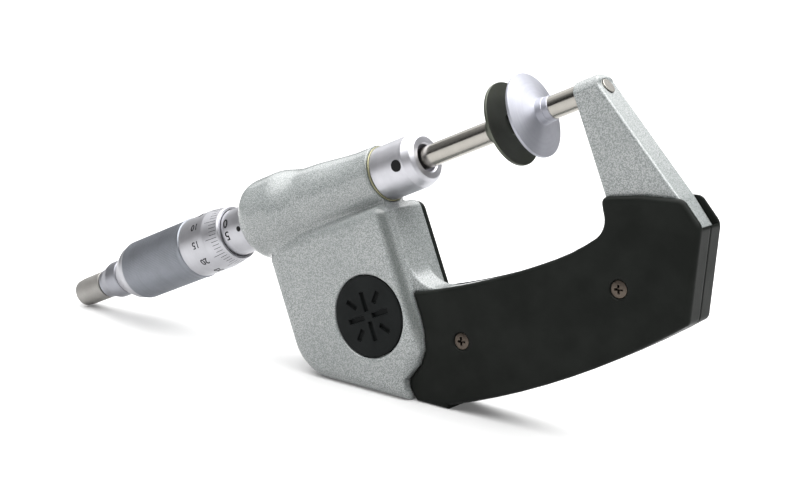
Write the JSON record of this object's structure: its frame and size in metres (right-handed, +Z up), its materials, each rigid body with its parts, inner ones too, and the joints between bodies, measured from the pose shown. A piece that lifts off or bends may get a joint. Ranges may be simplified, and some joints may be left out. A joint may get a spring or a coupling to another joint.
{
  "type": "disc micrometer",
  "caption": "Digital outside micrometer with thin disc faces, a non-rotating spindle, thimble with ratchet stop, enamelled bow frame, moulded covers and a battery cap.",
  "frame": {"origin": "middle of the outline at the level of the surface the tool stands on", "axes": "+Z up, +Y to the back of the tool where the battery cap is, +X towards the ratchet end; the spindle axis leans 25 degrees, low at the ratchet"},
  "size_m": [0.1938, 0.0214, 0.0824],
  "materials": {
    "enamel": "fine hammertone enamel, semi-gloss",
    "ground_steel": "ground and polished",
    "disc_steel": "satin, turned",
    "lapped_steel": "lapped",
    "bush_metal": "satin, turned",
    "ring_metal": "satin",
    "black_steel": "blackened",
    "satin_chrome": "satin",
    "nut_brass": "turned",
    "board": "laminate",
    "contact_metal": "plated",
    "cover_plastic": "fine moulded grain",
    "bronze_screw": "dark plated",
    "window_glass": "clear",
    "lcd_glass": "grey-green display",
    "seal_rubber": "moulded",
    "cell_metal": "nickel plated",
    "cap_plastic": "satin moulded",
    "key_plastic": "satin moulded",
    "zero_plastic": "satin moulded",
    "grip_metal": "fine straight knurl",
    "neck_metal": "satin, turned",
    "knob_metal": "matt, fine knurl"
  },
  "bodies": {
    "frame": {"frame": "enamel", "anvil": "ground_steel", "anvil_disc": "disc_steel", "spindle_bush": "bush_metal", "bush_ring": "ring_metal", "bush_screw": "black_steel", "guide_key": "ground_steel", "sleeve": "satin_chrome", "inner_sleeve": "nut_brass", "adjusting_nut": "ground_steel", "encoder_stator": "board", "rear_cover": "cover_plastic", "front_cover": "cover_plastic", "cover_screws": "bronze_screw", "display_window": "window_glass", "display_glass": "lcd_glass", "circuit_board": "board", "key_pad": "seal_rubber", "battery_cell": "cell_metal", "battery_contact": "contact_metal"},
    "spindle": {"spindle": "ground_steel", "spindle_disc": "lapped_steel", "thrust_ball": "ground_steel"},
    "thimble": {"thimble": "satin_chrome", "thimble_grip": "grip_metal", "feed_screw": "ground_steel", "ratchet_neck": "neck_metal", "ratchet_ring": "ground_steel", "ratchet_screw": "black_steel"},
    "ratchet": {"ratchet_knob": "knob_metal", "ratchet_disc": "ground_steel", "ratchet_spring": "ground_steel"},
    "encoder_rotor": {"encoder_rotor": "contact_metal"},
    "cap_seal": {"cap_seal": "seal_rubber"},
    "battery_cap": {"battery_cap": "cap_plastic"},
    "mode_button": {"mode_button": "key_plastic"},
    "zero_button": {"zero_button": "zero_plastic"},
    "hold_button": {"hold_button": "key_plastic"}
  },
  "joints": [
    {"name": "spindle_slide", "type": "slide", "parent": "frame", "child": "spindle", "axis": [0.9063, 0, -0.4226], "range_m": [-0.0054, 0.0196]},
    {"name": "thimble_turn", "type": "hinge", "parent": "spindle", "child": "thimble", "pos_m": [0.03953, 0, 0.02939], "axis": [0.9063, 0, -0.4226], "range_deg": [-3889, 14113]},
    {"name": "encoder_turn", "type": "hinge", "parent": "frame", "child": "encoder_rotor", "pos_m": [0.03953, 0, 0.02939], "axis": [0.9063, 0, -0.4226], "range_deg": [-3889, 14113]},
    {"name": "ratchet_slip", "type": "hinge", "parent": "thimble", "child": "ratchet", "pos_m": [0.03953, 0, 0.02939], "axis": [0.9063, 0, -0.4226], "continuous": true},
    {"name": "cap_lift", "type": "slide", "parent": "frame", "child": "cap_seal", "axis": [0, 1, 0], "range_m": [0, 0.004]},
    {"name": "cap_turn", "type": "hinge", "parent": "cap_seal", "child": "battery_cap", "pos_m": [-0.01355, 0.007, 0.01884], "axis": [0, 1, 0], "range_deg": [0, 1441]},
    {"name": "mode_press", "type": "slide", "parent": "frame", "child": "mode_button", "axis": [0, 1, 0], "range_m": [0, 0.0005], "stiffness_N_per_m": 600, "springref_m": -0.001},
    {"name": "zero_press", "type": "slide", "parent": "frame", "child": "zero_button", "axis": [0, 1, 0], "range_m": [0, 0.0005], "stiffness_N_per_m": 600, "springref_m": -0.001},
    {"name": "hold_press", "type": "slide", "parent": "frame", "child": "hold_button", "axis": [0, 1, 0], "range_m": [0, 0.0005], "stiffness_N_per_m": 600, "springref_m": -0.001}
  ],
  "couplings": [
    {"joint": "thimble_turn", "follows": "spindle_slide", "rad_per_m": 12566},
    {"joint": "encoder_turn", "follows": "spindle_slide", "rad_per_m": 12566},
    {"joint": "cap_turn", "follows": "cap_lift", "rad_per_m": 6283.2}
  ]
}
